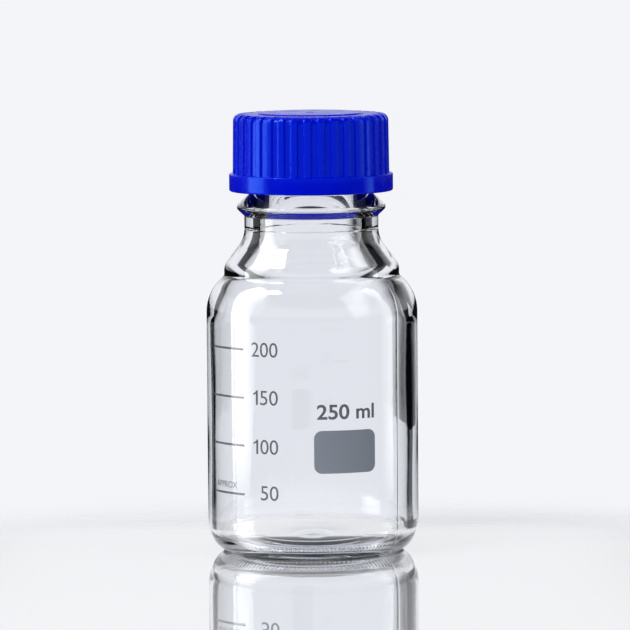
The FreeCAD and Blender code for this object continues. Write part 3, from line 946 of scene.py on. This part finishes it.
def floor():
    """Pale plate, polished under and in front of the bottle, that fades out into the background."""
    material, shader = new_material("floor_plate")
    spot = shader.coordinates("Object")
    middle = shader.node("ShaderNodeVectorMath", {"operation": "SUBTRACT"}, {0: spot, 1: (0, -0.08, 0)})
    place = shader.node("ShaderNodeVectorMath", {"operation": "LENGTH"}, {0: middle}, "Value")
    aside = shader.node("ShaderNodeSeparateXYZ", None, {0: spot}, "X")
    behind = shader.node("ShaderNodeSeparateXYZ", None, {0: spot}, "Y")
    polished = shader.ramp(aside * aside, 0.02, 0.003) * shader.ramp(behind, 0.10, 0.03)
    pale = shader.node("ShaderNodeBsdfPrincipled", None, {
        "Base Color": (0.90, 0.91, 0.93, 1),
        "Roughness": 0.5 - polished * 0.48,
        "IOR": 1.25,
        "Metallic": polished * 0.7,
    })
    clear = shader.node("ShaderNodeBsdfTransparent")
    faded = shader.ramp(place, 0.10, 0.23)
    shader.surface(shader.node("ShaderNodeMixShader", None, {0: faded, 1: pale, 2: clear}))
    shape = bmesh.new()
    edge = ring(FLOOR_RADIUS, -FLOOR_DROP, even_angles(96))
    shape.faces.new([shape.verts.new(point) for point in edge])
    plate = finished("floor", shape, smooth=False)
    plate.data.materials.append(material)


def world():
    """White to the camera, bright near the horizon in mirrors, pale through the glass and dim elsewhere."""
    scene_world = bpy.data.worlds.new("studio")
    scene_world.use_nodes = True
    bpy.context.scene.world = scene_world
    shader = Shader(scene_world.node_tree)
    seen = shader.node("ShaderNodeLightPath", output="Is Camera Ray")
    through = shader.node("ShaderNodeLightPath", output="Is Transmission Ray")
    mirrored = shader.node("ShaderNodeLightPath", output="Is Glossy Ray") * (1 - through)
    faces = shader.ramp(shader.node("ShaderNodeLightPath", output="Transmission Depth"), 2.4, 2.6)
    rise = shader.node("ShaderNodeSeparateXYZ", None, {0: shader.coordinates("Generated")}, "Z")
    horizon = shader.ramp(rise, 0.0, 0.03) * (1 - shader.ramp(rise, 0.3, 0.5))
    white = shader.node("ShaderNodeBackground", None, {"Color": (0.905, 0.91, 0.94, 1), "Strength": 1.0})
    bright = shader.node("ShaderNodeBackground", None, {"Color": (0.98, 0.985, 1, 1), "Strength": 0.97})
    pale = shader.node("ShaderNodeBackground", None, {"Color": BACKDROP_COLOUR, "Strength": 1.0})
    dim = shader.node("ShaderNodeBackground", None, {"Color": (0.015, 0.015, 0.02, 1), "Strength": 1.0})
    plain = shader.node("ShaderNodeBackground", None, {"Color": (1, 1, 1, 1), "Strength": 0.38})
    unlit = through * (1 - faces) + mirrored * (1 - horizon)
    light = shader.node("ShaderNodeMixShader", None, {0: unlit, 1: plain, 2: dim})
    light = shader.node("ShaderNodeMixShader", None, {0: through * faces, 1: light, 2: pale})
    light = shader.node("ShaderNodeMixShader", None, {0: mirrored * horizon, 1: light, 2: bright})
    light = shader.node("ShaderNodeMixShader", None, {0: seen, 1: light, 2: white})
    shader.surface(light, "ShaderNodeOutputWorld")


def studio():
    world()
    floor()
    left = glowing("left_box", 7.0, fades=[("Y", -0.36, -0.12), ("Z", -0.07, -0.02)])
    right = glowing("right_box", 4.5, fades=[("Y", -0.15, 0.05), ("Z", -0.07, -0.02)])
    overhead = glowing("top_box", 0.9)
    high = glowing("high_box", 60.0)
    backdrop = glowing("backdrop", 1.0, BACKDROP_COLOUR)
    black = glowing("black_flag", 0.0)
    shaded = glowing("shaded_flag", 1.0, BACKDROP_COLOUR, [("X", 0.30, 0.14)], to_black=True)
    flat_card("soft_box_left", [(-SIDE_BOX_DISTANCE, y, z) for y, z in LEFT_BOX], left, ("glossy",))
    flat_card("soft_box_right", [(SIDE_BOX_DISTANCE, y, z) for y, z in RIGHT_BOX], right, ("glossy",))
    flat_card("soft_box_top", [(x, y, TOP_BOX_HEIGHT) for x, y in TOP_BOX], overhead, ("glossy",))
    flat_card("soft_box_high", [(x, y, HIGH_BOX_HEIGHT) for x, y in HIGH_BOX], high, ("glossy",))
    curved_card("backdrop", 0.9, 152, 208, -0.4, 0.8, backdrop, ("transmission",))
    curved_card("flag_left", 0.8, 208.5, 250, -0.04, 0.3, black, ("transmission",))
    curved_card("flag_right", 0.8, 110, 172, -0.04, 0.3, shaded, ("transmission",))
    lamp("key_lamp", (-0.7, -0.6, 0.6), 0.5, 0.6, 6.5)
    lamp("fill_lamp", (0.8, -0.5, 0.5), 0.5, 0.6, 2.5)
    lamp("top_lamp", (0.0, 0.1, 1.0), 0.6, 0.6, 1.2)


dress(glass_bottle(), "bottle", clear_glass(), "glass_bottle")
cap_blue = moulded_plastic("cap_plastic", (0.0005, 0.0050, 0.65, 1), (0.0, 0.0035, 0.59, 1), 0.26)
ring_blue = moulded_plastic("ring_plastic", (0.003, 0.03, 0.62, 1), (0.002, 0.022, 0.55, 1), 0.25)
dress(pouring_ring(), "pouring_ring", ring_blue, "pouring_ring")
dress(seal_disc(), "seal", soft_rubber(), "seal_disc")
dress(screw_cap(), "cap", cap_blue, "screw_cap")
volume_marks()

camera()
studio()
bpy.context.scene.view_settings.view_transform = "Standard"
